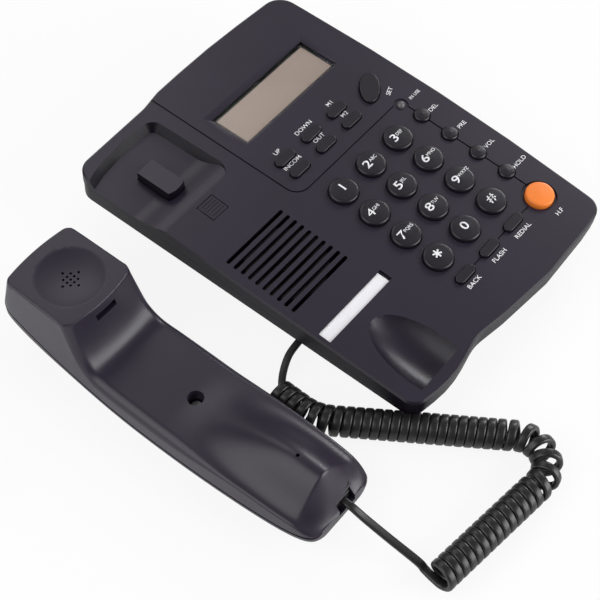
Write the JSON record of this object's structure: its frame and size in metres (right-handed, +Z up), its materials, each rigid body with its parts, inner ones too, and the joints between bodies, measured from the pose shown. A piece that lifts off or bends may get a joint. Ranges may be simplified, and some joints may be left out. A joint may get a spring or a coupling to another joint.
{
  "type": "corded telephone",
  "caption": "Corded desk telephone: wedge-shaped keypad base with display, handset cradle and loudspeaker, an arched handset lying beside it and a curly cord joining them.",
  "frame": {"origin": "on the desk, under the middle of the base", "axes": "+X to the user's right, +Y away from the user towards the display end, +Z up from the desk"},
  "size_m": [0.2318, 0.273, 0.048],
  "materials": {
    "body": "fine moulded grain, dark charcoal",
    "keys": "satin, near black",
    "hands_free_key": "satin orange",
    "window": "clear moulded window",
    "display": "unlit liquid crystal display",
    "board": "laminate",
    "sheet": "moulded key sheet",
    "capsule": "black",
    "lamp": "clear grey",
    "steel": "zinc plated",
    "jack": "moulded",
    "plug": "clear smoked",
    "card": "blank index card",
    "cover": "clear sheet",
    "feet": "matt",
    "cord": "satin black cord jacket"
  },
  "bodies": {
    "base": {"upper_housing": "body", "lower_housing": "body", "display_window": "window", "display_panel": "display", "main_board": "board", "key_sheet": "sheet", "loudspeaker": "capsule", "in_use_lamp": "lamp", "room_microphone": "capsule", "ballast_plate": "steel", "line_jack": "jack", "cord_jack": "jack", "index_card": "card", "index_cover": "cover", "rubber_feet": "feet", "housing_screws": "steel", "hook_spring": "steel", "base_plug": "plug", "base_lead": "cord", "curly_cord": "cord", "handset_lead": "cord"},
    "handset": {"handset_front_shell": "body", "handset_back_shell": "body", "receiver_capsule": "capsule", "handset_microphone": "capsule", "handset_socket": "jack", "handset_screw": "steel", "handset_plug": "plug"},
    "hook_switch": {"hook_switch": "keys"},
    "hanger_tab": {"hanger_tab": "body"},
    "key_1": {"key_1": "keys"},
    "key_2": {"key_2": "keys"},
    "key_3": {"key_3": "keys"},
    "key_4": {"key_4": "keys"},
    "key_5": {"key_5": "keys"},
    "key_6": {"key_6": "keys"},
    "key_7": {"key_7": "keys"},
    "key_8": {"key_8": "keys"},
    "key_9": {"key_9": "keys"},
    "key_star": {"key_star": "keys"},
    "key_0": {"key_0": "keys"},
    "key_hash": {"key_hash": "keys"},
    "key_delete": {"key_delete": "keys"},
    "key_preset": {"key_preset": "keys"},
    "key_volume": {"key_volume": "keys"},
    "key_hold": {"key_hold": "keys"},
    "key_hands_free": {"key_hands_free": "hands_free_key"},
    "key_back": {"key_back": "keys"},
    "key_flash": {"key_flash": "keys"},
    "key_redial": {"key_redial": "keys"},
    "key_up": {"key_up": "keys"},
    "key_down": {"key_down": "keys"},
    "key_memory_1": {"key_memory_1": "keys"},
    "key_incoming": {"key_incoming": "keys"},
    "key_outgoing": {"key_outgoing": "keys"},
    "key_memory_2": {"key_memory_2": "keys"},
    "key_set": {"key_set": "keys"}
  },
  "joints": [
    {"name": "key_1_press", "type": "slide", "parent": "base", "child": "key_1", "axis": [0, 0.0715, -0.9974], "range_m": [0, 0.0015], "stiffness_N_per_m": 200, "springref_m": -0.001},
    {"name": "key_2_press", "type": "slide", "parent": "base", "child": "key_2", "axis": [0, 0.0715, -0.9974], "range_m": [0, 0.0015], "stiffness_N_per_m": 200, "springref_m": -0.001},
    {"name": "key_3_press", "type": "slide", "parent": "base", "child": "key_3", "axis": [0, 0.0715, -0.9974], "range_m": [0, 0.0015], "stiffness_N_per_m": 200, "springref_m": -0.001},
    {"name": "key_4_press", "type": "slide", "parent": "base", "child": "key_4", "axis": [0, 0.0715, -0.9974], "range_m": [0, 0.0015], "stiffness_N_per_m": 200, "springref_m": -0.001},
    {"name": "key_5_press", "type": "slide", "parent": "base", "child": "key_5", "axis": [0, 0.0715, -0.9974], "range_m": [0, 0.0015], "stiffness_N_per_m": 200, "springref_m": -0.001},
    {"name": "key_6_press", "type": "slide", "parent": "base", "child": "key_6", "axis": [0, 0.0715, -0.9974], "range_m": [0, 0.0015], "stiffness_N_per_m": 200, "springref_m": -0.001},
    {"name": "key_7_press", "type": "slide", "parent": "base", "child": "key_7", "axis": [0, 0.0715, -0.9974], "range_m": [0, 0.0015], "stiffness_N_per_m": 200, "springref_m": -0.001},
    {"name": "key_8_press", "type": "slide", "parent": "base", "child": "key_8", "axis": [0, 0.0715, -0.9974], "range_m": [0, 0.0015], "stiffness_N_per_m": 200, "springref_m": -0.001},
    {"name": "key_9_press", "type": "slide", "parent": "base", "child": "key_9", "axis": [0, 0.0715, -0.9974], "range_m": [0, 0.0015], "stiffness_N_per_m": 200, "springref_m": -0.001},
    {"name": "key_star_press", "type": "slide", "parent": "base", "child": "key_star", "axis": [0, 0.0715, -0.9974], "range_m": [0, 0.0015], "stiffness_N_per_m": 200, "springref_m": -0.001},
    {"name": "key_0_press", "type": "slide", "parent": "base", "child": "key_0", "axis": [0, 0.0715, -0.9974], "range_m": [0, 0.0015], "stiffness_N_per_m": 200, "springref_m": -0.001},
    {"name": "key_hash_press", "type": "slide", "parent": "base", "child": "key_hash", "axis": [0, 0.0715, -0.9974], "range_m": [0, 0.0015], "stiffness_N_per_m": 200, "springref_m": -0.001},
    {"name": "key_delete_press", "type": "slide", "parent": "base", "child": "key_delete", "axis": [0, 0.0715, -0.9974], "range_m": [0, 0.0015], "stiffness_N_per_m": 200, "springref_m": -0.001},
    {"name": "key_preset_press", "type": "slide", "parent": "base", "child": "key_preset", "axis": [0, 0.0715, -0.9974], "range_m": [0, 0.0015], "stiffness_N_per_m": 200, "springref_m": -0.001},
    {"name": "key_volume_press", "type": "slide", "parent": "base", "child": "key_volume", "axis": [0, 0.0715, -0.9974], "range_m": [0, 0.0015], "stiffness_N_per_m": 200, "springref_m": -0.001},
    {"name": "key_hold_press", "type": "slide", "parent": "base", "child": "key_hold", "axis": [0, 0.0715, -0.9974], "range_m": [0, 0.0015], "stiffness_N_per_m": 200, "springref_m": -0.001},
    {"name": "key_hands_free_press", "type": "slide", "parent": "base", "child": "key_hands_free", "axis": [0, 0.0715, -0.9974], "range_m": [0, 0.0015], "stiffness_N_per_m": 200, "springref_m": -0.001},
    {"name": "key_back_press", "type": "slide", "parent": "base", "child": "key_back", "axis": [0, 0.0715, -0.9974], "range_m": [0, 0.0015], "stiffness_N_per_m": 200, "springref_m": -0.001},
    {"name": "key_flash_press", "type": "slide", "parent": "base", "child": "key_flash", "axis": [0, 0.0715, -0.9974], "range_m": [0, 0.0015], "stiffness_N_per_m": 200, "springref_m": -0.001},
    {"name": "key_redial_press", "type": "slide", "parent": "base", "child": "key_redial", "axis": [0, 0.0715, -0.9974], "range_m": [0, 0.0015], "stiffness_N_per_m": 200, "springref_m": -0.001},
    {"name": "key_up_press", "type": "slide", "parent": "base", "child": "key_up", "axis": [0, 0.0715, -0.9974], "range_m": [0, 0.0015], "stiffness_N_per_m": 200, "springref_m": -0.001},
    {"name": "key_down_press", "type": "slide", "parent": "base", "child": "key_down", "axis": [0, 0.0715, -0.9974], "range_m": [0, 0.0015], "stiffness_N_per_m": 200, "springref_m": -0.001},
    {"name": "key_memory_1_press", "type": "slide", "parent": "base", "child": "key_memory_1", "axis": [0, 0.0715, -0.9974], "range_m": [0, 0.0015], "stiffness_N_per_m": 200, "springref_m": -0.001},
    {"name": "key_incoming_press", "type": "slide", "parent": "base", "child": "key_incoming", "axis": [0, 0.0715, -0.9974], "range_m": [0, 0.0015], "stiffness_N_per_m": 200, "springref_m": -0.001},
    {"name": "key_outgoing_press", "type": "slide", "parent": "base", "child": "key_outgoing", "axis": [0, 0.0715, -0.9974], "range_m": [0, 0.0015], "stiffness_N_per_m": 200, "springref_m": -0.001},
    {"name": "key_memory_2_press", "type": "slide", "parent": "base", "child": "key_memory_2", "axis": [0, 0.0715, -0.9974], "range_m": [0, 0.0015], "stiffness_N_per_m": 200, "springref_m": -0.001},
    {"name": "key_set_press", "type": "slide", "parent": "base", "child": "key_set", "axis": [0, 0.0715, -0.9974], "range_m": [0, 0.0015], "stiffness_N_per_m": 200, "springref_m": -0.001},
    {"name": "hook_press", "type": "slide", "parent": "base", "child": "hook_switch", "axis": [0, 0, -1], "range_m": [0, 0.0035], "stiffness_N_per_m": 120, "springref_m": -0.002, "deforming": ["hook_spring"]},
    {"name": "hanger_tab_lift", "type": "slide", "parent": "base", "child": "hanger_tab", "axis": [0, -0.0715, 0.9974], "range_m": [0, 0.008]},
    {"name": "handset_lift", "type": "slide", "parent": "base", "child": "handset", "axis": [0, 0, 1], "range_m": [0, 0.08]}
  ]
}
